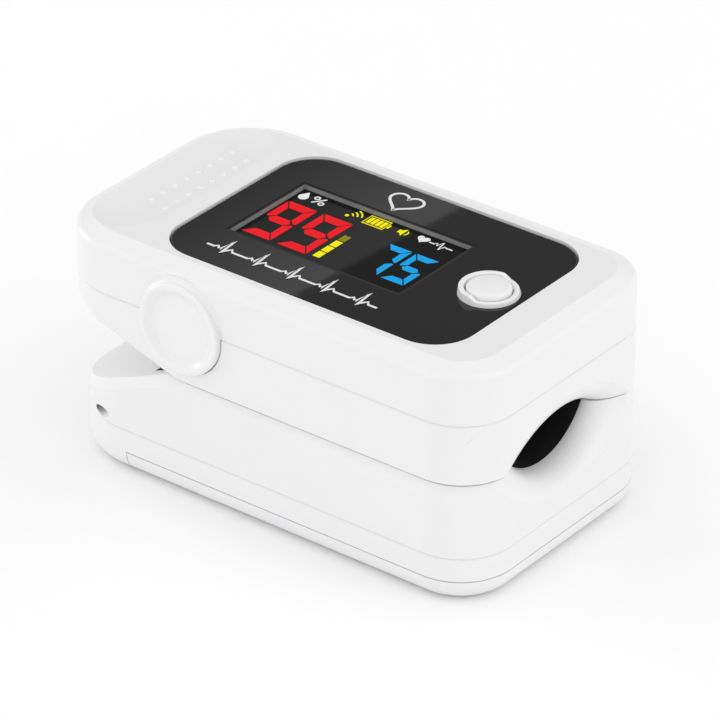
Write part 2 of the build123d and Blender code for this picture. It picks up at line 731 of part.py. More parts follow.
# ---- Hinge pin and closing springs ----
with BuildPart() as hinge_pin:
    with BuildSketch(Plane.XZ):
        with Locations((hinge_x, parting_z)):
            Circle(pin_radius)
    extrude(amount=pin_half_length, both=True)
    chamfer(hinge_pin.edges().filter_by(GeomType.CIRCLE), seam_edge)
finish(hinge_pin, "hinge_pin")

for name, side in (("closing_spring_right", -1), ("closing_spring_left", 1)):
    coil_plane = Plane(origin=(hinge_x, side * spring_y, parting_z), x_dir=(0, 1, 0), z_dir=(1, 0, 0))
    coil_reach = (spring_turns - 1) / 2 * spring_turn_pitch
    with BuildPart() as closing_spring:
        with BuildSketch(coil_plane):
            with Locations((0, spring_mean_radius)):
                with GridLocations(spring_turn_pitch, 1, spring_turns, 1):
                    Circle(spring_wire_radius)
        revolve(axis=Axis((hinge_x, 0, parting_z), (0, 1, 0)))
        for end in (-1, 1):
            leg_start = (hinge_x, side * (spring_y + end * coil_reach), parting_z + end * spring_mean_radius)
            leg_rise = end * sin(radians(spring_leg_angle))
            leg_plane = Plane(
                origin=leg_start, x_dir=(0, 1, 0), z_dir=(cos(radians(spring_leg_angle)), 0, leg_rise))
            with BuildSketch(leg_plane):
                Circle(spring_wire_radius)
            extrude(amount=spring_leg_length)
    finish(closing_spring, name)

# ---- Batteries and their contacts ----
cell_back_x = cell_front_x - cell_length
for name, side in (("battery_cell_right", -1), ("battery_cell_left", 1)):
    cell_axis = Plane(origin=(cell_back_x, side * cell_y, cell_z), x_dir=(0, 1, 0), z_dir=(1, 0, 0))
    with BuildPart() as battery_cell:
        with BuildSketch(cell_axis):
            Circle(cell_radius)
        extrude(amount=cell_length - cell_tip_length)
        fillet(battery_cell.edges().filter_by(GeomType.CIRCLE), cap_round)
        with BuildSketch(cell_axis.offset(cell_length - cell_tip_length)):
            Circle(cell_tip_radius)
        extrude(amount=cell_tip_length)
    finish(battery_cell, name)

contact_z = bulkhead_top - contact_height / 2
for name, plate_x in (("back_contacts", bay_back_x), ("front_contacts", cell_front_x)):
    with BuildPart() as contacts:
        for side in (-1, 1):
            with Locations((plate_x + contact_thickness / 2, side * cell_y, contact_z)):
                Box(contact_thickness, contact_width, contact_height)
    finish(contacts, name)

with BuildPart() as contact_springs:
    for side in (-1, 1):
        spring_back_x = bay_back_x + contact_thickness
        turn_length = contact_spring_length / contact_spring_turns
        for turn in range(contact_spring_turns):
            turn_radius = contact_spring_radius - turn * contact_spring_taper
            with BuildSketch(Plane.YZ.offset(spring_back_x + turn * turn_length)):
                with Locations((side * cell_y, cell_z)):
                    Circle(turn_radius)
                    Circle(turn_radius - contact_spring_wire, mode=Mode.SUBTRACT)
            extrude(amount=turn_length)
finish(contact_springs, "contact_springs")

# ---- Screws ----
def screw_set(places, seat_z, length):
    """Screws with their heads down, seated at one height, as one group."""
    with BuildPart() as screws:
        with BuildSketch(Plane.XY.offset(seat_z - screw_head)):
            with Locations(*places):
                Circle(screw_head_radius)
        extrude(amount=screw_head)
        with BuildSketch(Plane.XY.offset(seat_z)):
            with Locations(*places):
                Circle(screw_radius)
        extrude(amount=length)
    return screws


upper_screws = screw_set(upper_screws_at, upper_screw_seat, upper_screw_length)
finish(upper_screws, "upper_screws")

with BuildPart() as lower_screws:
    add(screw_set(back_screws_at, battery_seam_z, lower_screw_length).part)
    add(screw_set(spine_screws_at, lower_screw_seat, lower_screw_length).part)
finish(lower_screws, "lower_screws")

# ---- Ribbon leads; the pair at the hinge stops short of the pin on each side ----
ribbon_plane = Plane.XZ.offset(-ribbon_y)
optics_back_x = optics_x - optics_board_length / 2
sensor_low_z = parting_z - finger_floor - trough_grow - optics_board_thickness
emitter_top_z = parting_z + finger_roof + trough_grow + optics_board_thickness
ribbon_x = hinge_x + pin_radius + ribbon_gap
ribbons = {
    "sensor_lead": [
        (optics_back_x, sensor_low_z), (ribbon_x, sensor_low_z), (ribbon_x, parting_z - pin_radius),
        (ribbon_x + ribbon_thickness, parting_z - pin_radius),
        (ribbon_x + ribbon_thickness, sensor_low_z + ribbon_thickness),
        (optics_back_x, sensor_low_z + ribbon_thickness)],
    "board_lead": [
        (ribbon_x, parting_z + pin_radius), (ribbon_x, board_z), (ribbon_x + ribbon_thickness, board_z),
        (ribbon_x + ribbon_thickness, parting_z + pin_radius)],
    "emitter_lead": [
        (optics_back_x, emitter_top_z), (optics_back_x, board_z),
        (optics_back_x + ribbon_thickness, board_z),
        (optics_back_x + ribbon_thickness, emitter_top_z)],
}
for name, outline in ribbons.items():
    with BuildPart() as ribbon:
        with BuildSketch(ribbon_plane):
            with BuildLine():
                Polyline(*outline, close=True)
            make_face()
        extrude(amount=ribbon_width / 2, both=True)
    finish(ribbon, name)
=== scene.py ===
"""Fingertip pulse oximeter: the looks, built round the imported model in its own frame. Metres, +Z up."""
import json
import math

import bmesh
import bpy
import numpy as np
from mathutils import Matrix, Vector


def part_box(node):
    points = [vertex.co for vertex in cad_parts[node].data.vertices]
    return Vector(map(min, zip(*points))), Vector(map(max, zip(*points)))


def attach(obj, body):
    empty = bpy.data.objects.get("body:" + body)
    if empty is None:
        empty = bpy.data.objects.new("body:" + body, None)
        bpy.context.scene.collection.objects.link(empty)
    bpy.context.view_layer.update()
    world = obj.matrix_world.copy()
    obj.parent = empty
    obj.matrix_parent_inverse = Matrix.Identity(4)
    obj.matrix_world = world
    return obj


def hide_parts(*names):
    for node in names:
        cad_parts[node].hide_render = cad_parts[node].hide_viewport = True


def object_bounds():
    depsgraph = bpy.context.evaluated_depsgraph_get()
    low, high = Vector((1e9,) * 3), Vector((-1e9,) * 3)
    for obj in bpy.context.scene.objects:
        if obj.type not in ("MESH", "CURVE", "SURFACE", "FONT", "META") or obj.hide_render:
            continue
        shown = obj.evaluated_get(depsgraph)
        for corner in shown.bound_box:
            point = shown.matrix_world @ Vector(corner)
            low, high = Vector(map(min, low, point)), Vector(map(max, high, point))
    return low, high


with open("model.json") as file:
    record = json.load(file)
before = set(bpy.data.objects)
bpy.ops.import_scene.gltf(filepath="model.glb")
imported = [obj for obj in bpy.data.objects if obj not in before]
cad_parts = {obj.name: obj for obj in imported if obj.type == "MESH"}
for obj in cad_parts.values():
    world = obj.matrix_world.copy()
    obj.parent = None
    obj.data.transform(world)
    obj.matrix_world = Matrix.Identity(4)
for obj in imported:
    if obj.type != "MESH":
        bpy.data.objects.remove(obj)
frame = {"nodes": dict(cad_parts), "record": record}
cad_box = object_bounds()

MM = 0.001              # one millimetre in metres; lengths are in millimetres where nothing else is said


def box(node):
    """Lowest and highest corner of a CAD node, in millimetres."""
    low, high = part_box(node)
    return np.array(low) / MM, np.array(high) / MM


def add_object(name, data):
    """New object with the given mesh, light or camera, in the scene."""
    thing = bpy.data.objects.new(name, data)
    bpy.context.scene.collection.objects.link(thing)
    return thing


# ---------------------------------------------------------------- camera

AIM_FROM_CENTRE = (6.2, -6.1, 3.6)
EYE_FROM_AIM = (318.0, -407.95, 300.1)
LENS = 254.1
CLIP = (0.05, 20.0)     # nearest and farthest depth that is drawn, in metres
centre = np.array([0.0, 0.0, (cad_box[0][2] + cad_box[1][2]) / 2 / MM])
aim = centre + AIM_FROM_CENTRE
eye = aim + EYE_FROM_AIM


def look(from_point, to_point):
    """Rotation that points an object's -Z from one point to another."""
    return Vector((np.array(to_point) - from_point).tolist()).to_track_quat("-Z", "Y").to_euler()


camera_data = bpy.data.cameras.new("camera")
camera_data.lens = LENS
camera_data.clip_start, camera_data.clip_end = CLIP
camera = add_object("camera", camera_data)
camera.location = eye * MM
camera.rotation_euler = look(eye, aim)
bpy.context.scene.camera = camera
bpy.context.scene.view_settings.view_transform = "Standard"


# ---------------------------------------------------------------- shader helpers

def linear(hex_colour):
    """sRGB hex colour to linear red, green, blue and a full alpha."""
    channels = [int(hex_colour[i:i + 2], 16) / 255 for i in (1, 3, 5)]
    return [c / 12.92 if c <= 0.04045 else ((c + 0.055) / 1.055) ** 2.4 for c in channels] + [1.0]


def add_node(tree, kind, inputs=None, **settings):
    """Add a node: settings go on the node itself, inputs on its sockets. A socket given as an input is
    linked, anything else is set as the input's value."""
    node = tree.nodes.new(kind)
    for name, value in settings.items():
        setattr(node, name, value)
    for name, value in (inputs or {}).items():
        if isinstance(value, bpy.types.NodeSocket):
            tree.links.new(value, node.inputs[name])
        else:
            node.inputs[name].default_value = value
    return node


def object_place(tree):
    """The surface point in the piece's own coordinates, which are the shared frame's."""
    return add_node(tree, "ShaderNodeTexCoord").outputs["Object"]


def grain(tree, size_mm, detail=2.0):
    """Noise from 0 to 1 with blobs about this many millimetres across."""
    return add_node(tree, "ShaderNodeTexNoise", {
        "Vector": object_place(tree), "Scale": 1 / (size_mm * MM), "Detail": detail}).outputs["Fac"]


def ranged(tree, value, low, high, start=0.0, end=1.0):
    """A value between start and end spread evenly from low to high."""
    return add_node(tree, "ShaderNodeMapRange", {
        "Value": value, "From Min": start, "From Max": end, "To Min": low, "To Max": high}).outputs["Result"]


def two_tone(tree, factor, colour, shade):
    """Colour that goes from one hex colour to another as the factor goes from 0 to 1."""
    mix = add_node(tree, "ShaderNodeMix", {0: factor, 6: linear(colour), 7: linear(shade)}, data_type="RGBA")
    return mix.outputs[2]


def new_material(name, shader_inputs):
    """Material with its node tree and shader; shader_inputs are plain values for the shader's own sockets, by
    name with a _ for each space."""
    material = bpy.data.materials.new(name)
    material.use_nodes = True
    shader = material.node_tree.nodes["Principled BSDF"]
    for socket, value in shader_inputs.items():
        shader.inputs[socket.replace("_", " ")].default_value = value
    return material, material.node_tree, shader


GLOSS_SPREAD = 0.15     # how far the roughness wanders to both sides of its value, as a share of it
GLOSS_CLOUDS = 3        # how many times smaller the clouds of gloss are than those of colour
TEXTURE_DETAIL = 3.0    # octaves of noise in the raised texture
EDGE_SAMPLES = 6        # rays that look for a near edge
INKED = (0.45, 0.55)    # height of a face's normal where the ink starts, and where it covers
LIT_MOTTLE = (0.84, 1.04)   # strength of a segment's light in its dimmest and its brightest spots
DIFFUSER_GRAIN = 0.5    # size of those spots


def finished(name, colour, shade, roughness, cloud_mm, texture_mm, texture_height, edge_mm=0.0,
             **shader_inputs):
    """The common make-up of a surface: two close tones in soft clouds, uneven gloss, a fine raised texture
    and, where edge_mm is set, edges softened to that radius."""
    material, tree, shader = new_material(name, shader_inputs)
    tree.links.new(two_tone(tree, grain(tree, cloud_mm), colour, shade), shader.inputs["Base Color"])
    tree.links.new(ranged(tree, grain(tree, cloud_mm / GLOSS_CLOUDS),
                          roughness * (1 - GLOSS_SPREAD), roughness * (1 + GLOSS_SPREAD)),
                   shader.inputs["Roughness"])
    bump = add_node(tree, "ShaderNodeBump", {"Height": grain(tree, texture_mm, TEXTURE_DETAIL),
                                             "Distance": texture_height * MM, "Strength": 1.0})
    if edge_mm:
        edge = add_node(tree, "ShaderNodeBevel", {"Radius": edge_mm * MM}, samples=EDGE_SAMPLES)
        tree.links.new(edge.outputs["Normal"], bump.inputs["Normal"])
    tree.links.new(bump.outputs["Normal"], shader.inputs["Normal"])
    return material


def ink_above(material, ink):
    """Ink on the faces that look up: the colour changes where the normal's height passes one half."""
    tree = material.node_tree
    colour = tree.nodes["Principled BSDF"].inputs["Base Color"]
    height = add_node(tree, "ShaderNodeSeparateXYZ", {
        "Vector": add_node(tree, "ShaderNodeTexCoord").outputs["Normal"]}).outputs["Z"]
    mix = add_node(tree, "ShaderNodeMix", {
        0: ranged(tree, height, 0.0, 1.0, *INKED), 6: colour.links[0].from_socket, 7: linear(ink)},
        data_type="RGBA")
    tree.links.new(mix.outputs[2], colour)


def lit(name, colour):
    """Lit segment under coated glass: its own light, with a faint mottle from the diffuser."""
    material, tree, shader = new_material(name, {
        "Base_Color": linear("#0c0c0b"), "Roughness": 0.2, "IOR": 1.2, "Emission_Color": linear(colour)})
    tree.links.new(ranged(tree, grain(tree, DIFFUSER_GRAIN), *LIT_MOTTLE), shader.inputs["Emission Strength"])
    return material


# ---------------------------------------------------------------- materials

# Each finish: two close tones, roughness, then the size of its clouds, the size and the height of its raised
# texture and the radius of its softened edges.

# White ABS, injection moulded in a lightly spark-eroded tool: a soft satin white with a broad highlight.
white_abs = finished("white_moulded_abs", "#ebebec", "#e8e8e9", 0.3, 9.0, 0.25, 0.0012, 0.12, IOR=1.54)
# The same ABS from a polished tool, for the caps, ring and button: tighter highlights on the rims.
gloss_abs = finished("white_gloss_abs", "#ececed", "#e9e9ea", 0.2, 7.0, 0.6, 0.0008, 0.08, IOR=1.54)
# Acrylic plate, printed black behind: deep gloss over near black, with a trace of orange peel.
black_acrylic = finished("black_printed_acrylic", "#0d0d0d", "#0f0f0f", 0.015, 12.0, 1.4, 0.0002, IOR=1.49)
# Display glass with a low-reflection coating: darker than the window beside it.
display_glass = finished("coated_display_glass", "#090908", "#0b0b0a", 0.015, 10.0, 1.6, 0.0001, IOR=1.26)
# Grey moulded gasket: an even matt grey wall round the display, inked black where it faces up.
grey_gasket = finished("grey_moulded_gasket", "#8a8a8a", "#848484", 0.6, 3.0, 0.2, 0.002, IOR=1.5)
ink_above(grey_gasket, "#0c0c0c")
# Black silicone, moulded: dull, a little dusty, soft edges in its shine.
black_silicone = finished("black_moulded_silicone", "#141415", "#1a1a1c", 0.62, 4.0, 0.3, 0.006, IOR=1.41)
# Nickel plated steel: pale warm grey metal with fine rolling marks.
nickel_steel = finished("nickel_plated_steel", "#c9c6bf", "#bdbab4", 0.28, 2.0, 0.12, 0.001, Metallic=1.0)
# Solder mask over fibreglass board: dark green, slightly wavy gloss.
solder_mask = finished("green_solder_mask", "#12532c", "#0e4a27", 0.3, 5.0, 0.5, 0.003, IOR=1.52)
# Moulded epoxy of chips, diodes and the buzzer: matt charcoal.
black_epoxy = finished("black_moulded_epoxy", "#1b1b1c", "#222223", 0.55, 2.0, 0.12, 0.003, IOR=1.55)
# Clear moulded acrylic over the diodes: see-through, with small sharp highlights.
clear_acrylic = finished("clear_moulded_acrylic", "#f4f6f8", "#eef1f4", 0.08, 3.0, 0.8, 0.0004,
                         IOR=1.49, Transmission_Weight=0.9)
# Printed steel can of the battery cells: graphite lacquer over metal.
cell_can = finished("lacquered_battery_can", "#3b3d42", "#34363b", 0.3, 6.0, 0.4, 0.001, Metallic=0.6)
# Polyimide film over copper: amber, glossy.
amber_film = finished("polyimide_film", "#a8641c", "#9a5815", 0.25, 2.5, 0.4, 0.001, IOR=1.7)
# White screen-printing ink: chalky, flat.
white_ink = finished("white_screen_ink", "#e9e9e9", "#dfdfdf", 0.45, 1.5, 0.1, 0.002, IOR=1.5)
# Paper sweep of the studio floor: matt and all but white.
paper = finished("pale_paper_sweep", "#fbfbfb", "#fafafa", 0.9, 60.0, 1.0, 0.01)

# Lit segments and marks of the display: flat saturated colours, each from its own light.
lit_red = lit("lit_red_segment", "#f0101f")
lit_blue = lit("lit_blue_segment", "#0ca4ea")
lit_yellow = lit("lit_yellow_segment", "#fdf000")
dim_yellow = lit("dim_yellow_segment", "#8a8412")
lit_white = lit("lit_white_mark", "#ececec")

SLOT_MATERIALS = {
    "white_shell": white_abs, "white_trim": gloss_abs, "black_window": black_acrylic,
    "display": display_glass, "grey_gasket": grey_gasket, "black_silicone": black_silicone,
    "clear_window": clear_acrylic, "circuit_board": solder_mask, "black_part": black_epoxy,
    "steel": nickel_steel, "battery": cell_can, "ribbon": amber_film}

for part in frame["record"]["subparts"]:
    frame["nodes"][part["node"]].material_slots[0].material = SLOT_MATERIALS[part["material_slot"]]


# ---------------------------------------------------------------- mesh helpers

SAME_POINT = 1e-7       # points closer than this, in metres, are one
SHARP_ANGLE = 40        # edges that turn more degrees than this stay sharp


def new_piece(name, points, faces, material, body):
    """A smooth mesh as a piece that rides on a body; doubles are merged and faces turned outwards."""
    mesh = bpy.data.meshes.new(name)
    mesh.from_pydata((np.asarray(points, float) * MM).tolist(), [], faces)
    shape = bmesh.new()
    shape.from_mesh(mesh)
    bmesh.ops.remove_doubles(shape, verts=shape.verts, dist=SAME_POINT)
    bmesh.ops.recalc_face_normals(shape, faces=shape.faces)
    shape.to_mesh(mesh)
    shape.free()
    mesh.shade_smooth()
    mesh.set_sharp_from_angle(angle=math.radians(SHARP_ANGLE))
    mesh.materials.append(material)
    piece = add_object(name, mesh)
    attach(piece, body)
    return piece


def grid_faces(rows, columns, closed_rows=False, closed_columns=False):
    """Quads between neighbours of a grid of points, which may close on itself either way."""
    row = np.arange(rows if closed_rows else rows - 1)[:, None]
    column = np.arange(columns if closed_columns else columns - 1)[None, :]
    after_row, after_column = (row + 1) % rows, (column + 1) % columns
    corners = [row * columns + column, row * columns + after_column,
               after_row * columns + after_column, after_row * columns + column]
    return np.stack([corner.ravel() for corner in corners], 1).tolist()


TURNS = np.radians(np.arange(0, 360, 2.5))


def all_round(profile):
    """A profile, rows of radius and height, repeated for each of the turns: rows x turns x 2."""
    return np.repeat(np.asarray(profile, float)[:, None], len(TURNS), 1)


def turned(profile, centre_point, axis):
    """Surface of revolution: each point of the profile stands at its radius times the turn's cosine and sine,
    and at its height along the axis, "+Z", "+Y" or "-Y". profile comes from all_round."""
    radius, height = profile[..., 0], profile[..., 1]
    across, up = radius * np.cos(TURNS), radius * np.sin(TURNS)
    if axis == "+Z":
        points = np.stack([across, up, height], -1)
    else:
        points = np.stack([across, height * (1 if axis == "+Y" else -1), up], -1)
    return (points + centre_point).reshape(-1, 3), grid_faces(*profile.shape[:2], closed_columns=True)


def smooth_step(value, start, end):
    """0 before start, 1 after end, with a soft S between."""
    t = np.clip((value - start) / (end - start), 0, 1)
    return t * t * (3 - 2 * t)


def arc(middle, radius, start, end, count=24):
    """Points on an arc: the middle plus the radius times the cosine and sine of angles from start to end, in
    degrees. Two radii give an arc of an ellipse."""
    angle = np.radians(np.linspace(start, end, count))
    return np.array(middle) + np.stack([np.cos(angle), np.sin(angle)], 1) * radius


# ---------------------------------------------------------------- side caps

CAP_EDGE = 0.3          # round of the outer edge
CAP_RIM = 0.22          # width of the rim before the dish
CAP_SLOPE = 1.25        # width of the dish's sloping wall
CAP_DISH = 0.62         # depth of the dish
CAP_CROWN = 0.12        # rise of the dish's floor towards its middle
CAP_EDGE_POINTS = 7
SKIRT_LEAST = 0.1       # width of the skirt at its two ends
SKIRT_WIDTH = 0.9       # how much wider it is above them
SKIRT_INSET = 0.12      # how far inside the cap's wall it starts
SKIRT_SUNK = 0.02       # how deep in the lid's side its outer edge ends
SKIRT_BURIED = 0.3      # and how deep its closing faces lie
SKIRT_TAPER = 0.6       # sine of the angle above the seam from which it has its full width
SKIRT_HOLLOW = 3        # power of its fall, which makes it concave
SKIRT_ENDS = (2, 178)   # degrees round the cap where it starts and ends
seam_z = box("upper_housing")[1][2]
side_y = box("top_cover")[1][1]

for side, direction in (("right", -1), ("left", 1)):
    low, high = box(f"side_cap_{side}")
    middle = (low + high) / 2
    face = max(abs(low[1]), abs(high[1]))
    back = min(abs(low[1]), abs(high[1]))
    radius = (high[0] - low[0]) / 2
    rim = radius - CAP_EDGE - CAP_RIM
    slope = np.linspace(0, 1, 16)
    dish = np.stack([rim - CAP_SLOPE * slope, face - CAP_DISH * smooth_step(slope, 0, 1)], 1)
    dish_floor = np.stack([np.linspace(rim - CAP_SLOPE, 0.0, 8), np.full(8, face - CAP_DISH)], 1)
    dish_floor[:, 1] += CAP_CROWN * smooth_step(1 - dish_floor[:, 0] / (rim - CAP_SLOPE), 0, 1)
    edge = arc((radius - CAP_EDGE, face - CAP_EDGE), CAP_EDGE, 0, 90, CAP_EDGE_POINTS)
    wall = np.array([[radius, side_y], [radius, back]])
    profile = all_round(np.concatenate([dish_floor[::-1], dish[::-1], edge[::-1], wall, [[0.0, back]]]))
    points, faces = turned(profile, (middle[0], 0, middle[2]), "+Y" if direction > 0 else "-Y")
    cap = new_piece(f"round_cap_{side}", points, faces, gloss_abs, "upper_clip")
    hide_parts(f"side_cap_{side}")

    # Soft concave skirt from the cap's rim down to the lid's side, only above the seam: it thins to almost
    # nothing at both ends, where it meets the seam.
    angles = np.radians(np.linspace(*SKIRT_ENDS, 90))
    taper = smooth_step(np.sin(angles), 0.0, SKIRT_TAPER)
    out = np.linspace(0, 1, 16)[:, None]
    skirt_radius = radius - SKIRT_INSET + (SKIRT_WIDTH * taper + SKIRT_LEAST) * out
    skirt_height = (side_y - SKIRT_SUNK
                    + (face - side_y - CAP_EDGE - SKIRT_SUNK) * taper * (1 - out) ** SKIRT_HOLLOW)
    skirt = np.stack([skirt_radius * np.cos(angles) + middle[0], skirt_height * direction,
                      skirt_radius * np.sin(angles) + middle[2]], -1)
    buried = skirt[[-1, 0]] * (1, 0, 1) + (0, (side_y - SKIRT_BURIED) * direction, 0)
    skirt = np.concatenate([skirt, buried])
    skirt[..., 2] = np.maximum(skirt[..., 2], seam_z)
    new_piece(f"cap_skirt_{side}", skirt.reshape(-1, 3),
              grid_faces(len(skirt), len(angles), closed_rows=True), white_abs, "upper_clip")

# ---------------------------------------------------------------- power button and its ring

ring_high = box("button_ring")[1]
button_low, button_high = box("power_button")
window_low, window_high = box("display_window")
button_x = (button_low[0] + button_high[0]) / 2
RING_BASE = 3.74        # outer radius at the window
RING_TOP = 3.6          # outer radius at the top
RING_BORE = 2.86        # radius of the bore
RING_FLARE = 0.1        # how much wider the bore is at the top
RING_LIP = 0.6          # height over which it widens
RING_ROUND = 0.16       # round of the top's two edges
RING_POINTS = 7         # points on each of them
RING_FALL = 0.03        # how much lower the inner one is
RING_STEP = 0.5         # how much lower the half towards the finger opening is
RING_RAMP = (-9.0, 13.0)    # degrees from the ring's middle line where it starts and ends to fall
RING_LIP_SHARE = 0.2    # share of that step that the bore's lip takes
RING_SUNK = 0.1         # height of the ring's foot above the window's underside
ring_floor = window_low[2] + RING_SUNK

step_down = RING_STEP * smooth_step(np.degrees(np.arcsin(np.cos(TURNS))), *RING_RAMP)
outer_round = arc((RING_TOP - RING_ROUND, ring_high[2] - RING_ROUND), RING_ROUND, 0, 90, RING_POINTS)
inner_round = arc((RING_BORE + RING_FLARE + RING_ROUND, ring_high[2] - RING_FALL - RING_ROUND),
                  RING_ROUND, 90, 180, RING_POINTS)
profile = all_round(np.concatenate([
    [[RING_BASE, ring_floor], [RING_BASE, window_high[2]]], outer_round, inner_round,
    [[RING_BORE, ring_high[2] - RING_LIP], [RING_BORE, ring_floor]]]))
profile[2:-2, :, 1] -= step_down
profile[-2, :, 1] -= step_down * RING_LIP_SHARE
points, faces = turned(np.concatenate([profile, profile[:1]]), (button_x, 0, 0), "+Z")
ring = new_piece("stepped_button_ring", points, faces, gloss_abs, "upper_clip")
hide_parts("button_ring")

BUTTON_RADIUS = 2.74
BUTTON_CROWN = 0.16     # how much the top falls from its middle to its edge
BUTTON_EDGE = (0.45, 0.5)   # width and height of the round edge
crown = np.linspace(0, 1, 12)
crown_radius = BUTTON_RADIUS - BUTTON_EDGE[0]
top_profile = np.stack([crown_radius * crown, button_high[2] - BUTTON_CROWN * crown ** 2], 1)
# The top's last point stands at 90 degrees, so the edge starts at 80.
edge_profile = arc((crown_radius, button_high[2] - BUTTON_CROWN - BUTTON_EDGE[1]), BUTTON_EDGE, 80, 0, 9)
profile = all_round(np.concatenate([
    top_profile, edge_profile, [[BUTTON_RADIUS, button_low[2]], [0, button_low[2]]]]))
points, faces = turned(profile, (button_x, 0, 0), "+Z")
button = new_piece("push_button", points, faces, gloss_abs, "button")
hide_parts("power_button")

# ---------------------------------------------------------------- springs

SPRING_WIRE = 0.33      # radius of the wire
SPRING_COIL = 1.6       # radius of the coil, to the wire's middle
SPRING_TURNS = (-0.25, 4.25)    # turns from the coil's top where the wire starts and ends
SPRING_LEAD = 0.06      # the part turn before the first, as a share of those after it
SIDEWAYS = (0.13, 0.97, 0.21)   # a direction that no wire runs in


def wire(path, radius, sides=10):
    """Round wire along a path: a circle in the plane across the path's direction at each point."""
    ahead = np.gradient(path, axis=0)
    ahead /= np.linalg.norm(ahead, axis=1, keepdims=True)
    across = np.cross(ahead, SIDEWAYS)
    across /= np.linalg.norm(across, axis=1, keepdims=True)
    third = np.cross(ahead, across)
    angle = np.linspace(0, 2 * np.pi, sides, endpoint=False)
    rings = path[:, None] + radius * (across[:, None] * np.cos(angle)[None, :, None]
                                      + third[:, None] * np.sin(angle)[None, :, None])
    ends = [list(range(sides)), list(range((len(path) - 1) * sides, len(path) * sides))]
    return rings.reshape(-1, 3), grid_faces(len(path), sides, closed_columns=True) + ends


pin_low, pin_high = box("hinge_pin")
pin_middle = (pin_low + pin_high) / 2
for side in ("right", "left"):
    low, high = box(f"closing_spring_{side}")
    turn = np.linspace(*SPRING_TURNS, 150) * 2 * np.pi
    width = high[1] - low[1] - 2 * SPRING_WIRE
    coil = np.stack([
        pin_middle[0] + SPRING_COIL * np.sin(turn),
        low[1] + SPRING_WIRE + width * (turn / turn[-1] + SPRING_LEAD) / (1 + SPRING_LEAD),
        pin_middle[2] + SPRING_COIL * np.cos(turn)], 1)
    points, faces = wire(coil, SPRING_WIRE)
    spring = new_piece(f"coiled_spring_{side}", points, faces, nickel_steel, "lower_clip")
    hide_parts(f"closing_spring_{side}")

# ---------------------------------------------------------------- printed and lit shapes on the top

panel_high = box("display_panel")[1]
LAYER = 0.03            # thickness of the lit and printed layers
panel_z = panel_high[2] + LAYER
print_z = window_high[2] + LAYER


def plate(outline):
    """Closed flat outline, counter-clockwise, as points and one face."""
    outline = np.array(outline, float)
    return outline, [list(range(len(outline)))]


def strip(line, width, closed=False):
    """Band of even width along a line: each point moved half the width to both sides, square to the line."""
    line = np.array(line, float)
    ahead = np.roll(line, -1, 0) - np.roll(line, 1, 0) if closed else np.gradient(line, axis=0)
    across = np.stack([-ahead[:, 1], ahead[:, 0]], 1)
    across *= width / 2 / np.linalg.norm(across, axis=1, keepdims=True)
    return (np.concatenate([line - across, line + across]),
            grid_faces(2, len(line), closed_columns=closed))


def rectangle(left, bottom, width, height):
    """Upright rectangle."""
    right, top = left + width, bottom + height
    return plate([(left, bottom), (right, bottom), (right, top), (left, top)])


def heart(middle, width, count=40):
    """Outline of a heart, scaled to a width: across it is the sine cubed of an angle, upwards a sum of the
    cosines of one to four times that angle."""
    t = np.linspace(0, 2 * np.pi, count, endpoint=False)
    x = 16 * np.sin(t) ** 3
    y = 13 * np.cos(t) - 5 * np.cos(2 * t) - 2 * np.cos(3 * t) - np.cos(4 * t)
    return np.stack([middle[0] + x * width / 32, middle[1] + (y + 2) * width / 32], 1)[::-1]


def drop(middle, height, count=32):
    """Outline of a drop: a circle whose upper half is drawn in and up to a point, by the sine cubed."""
    drawn_in, drawn_up, lift = 0.6, 0.85, 0.42
    t = np.linspace(0, 2 * np.pi, count, endpoint=False) + np.pi / 2
    pull = np.clip(np.sin(t), 0, 1) ** 3
    x = np.cos(t) * (1 - drawn_in * pull)
    y = np.sin(t) + drawn_up * pull
    full = 2 + drawn_up
    return np.stack([middle[0] + x * height / full, middle[1] + (y - lift) * height / full], 1)


def printed(name, shapes, z, material):
    """Flat shapes, each points and faces, as one thin solid layer with its top at z."""
    points, faces, start = [], [], 0
    for shape_points, shape_faces in shapes:
        points.append(shape_points)
        faces += [[start + i for i in face] for face in shape_faces]
        start += len(shape_points)
    flat = np.concatenate(points)
    mesh = bpy.data.meshes.new(name)
    mesh.from_pydata((np.column_stack([flat, np.full(len(flat), z)]) * MM).tolist(), [], faces)
    mesh.update()
    mesh.materials.append(material)
    piece = add_object(name, mesh)
    thick = piece.modifiers.new("thickness", "SOLIDIFY")
    thick.thickness = LAYER * MM
    thick.offset = -1
    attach(piece, "upper_clip")
    return piece


def digit(number, left, bottom, width, height, stroke, rise):
    """Lit seven-segment bars of a number: mitred bars with a thin dark gap at each joint.

    stroke is the width of the upright bars, rise the height of the level ones."""
    gap = 0.11
    cut = gap * rise / stroke
    middle = height / 2
    low_bar = [(gap, 0), (width - gap, 0), (width - stroke - gap, rise), (stroke + gap, rise)]
    upright = [(0, height - cut), (0, middle + 2 * cut), (stroke / 4, middle + cut),
               (stroke, middle + rise / 2 + cut), (stroke, height - rise - cut)]
    bars = {
        "bottom": low_bar,
        "top": [(x, height - y) for x, y in low_bar[::-1]],
        "middle": [(stroke / 2 + gap, middle), (stroke + gap, middle - rise / 2),
                   (width - stroke - gap, middle - rise / 2), (width - stroke / 2 - gap, middle),
                   (width - stroke - gap, middle + rise / 2), (stroke + gap, middle + rise / 2)],
        "upper_left": upright,
        "upper_right": [(width - x, y) for x, y in upright[::-1]],
        "lower_right": [(width - x, height - y) for x, y in upright],
    }
    shown = {9: ("top", "upper_left", "upper_right", "middle", "lower_right", "bottom"),
             7: ("top", "upper_right", "lower_right"),
             5: ("top", "upper_left", "middle", "lower_right", "bottom")}[number]
    return [plate(np.array(bars[bar]) + (left, bottom)) for bar in shown]


